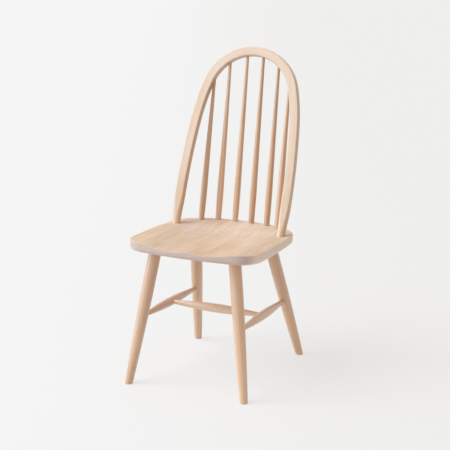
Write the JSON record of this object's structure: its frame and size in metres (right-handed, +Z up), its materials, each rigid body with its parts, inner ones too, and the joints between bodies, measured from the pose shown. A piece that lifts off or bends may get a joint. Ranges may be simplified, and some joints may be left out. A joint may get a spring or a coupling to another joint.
{
  "type": "dining chair",
  "caption": "Hoop-back wooden dining chair with a saddled seat, splayed turned legs, an H stretcher and a back of tapered spindles.",
  "frame": {"origin": "on the floor, under the middle of the chair's overall box", "axes": "+Z up, -Y is the way that the chair faces, +X to the right as seen from the front"},
  "size_m": [0.4196, 0.5242, 0.9497],
  "materials": {
    "seat_wood": "clear satin",
    "bow_wood": "clear satin",
    "turned_wood": "clear satin"
  },
  "bodies": {
    "root": {"seat": "seat_wood", "bow": "bow_wood", "leg_front_left": "turned_wood", "leg_front_right": "turned_wood", "leg_rear_left": "turned_wood", "leg_rear_right": "turned_wood", "side_stretcher_left": "turned_wood", "side_stretcher_right": "turned_wood", "cross_stretcher": "turned_wood", "spindle_inner_left": "turned_wood", "spindle_inner_right": "turned_wood", "spindle_middle_left": "turned_wood", "spindle_middle_right": "turned_wood", "spindle_outer_left": "turned_wood", "spindle_outer_right": "turned_wood"}
  },
  "joints": []
}
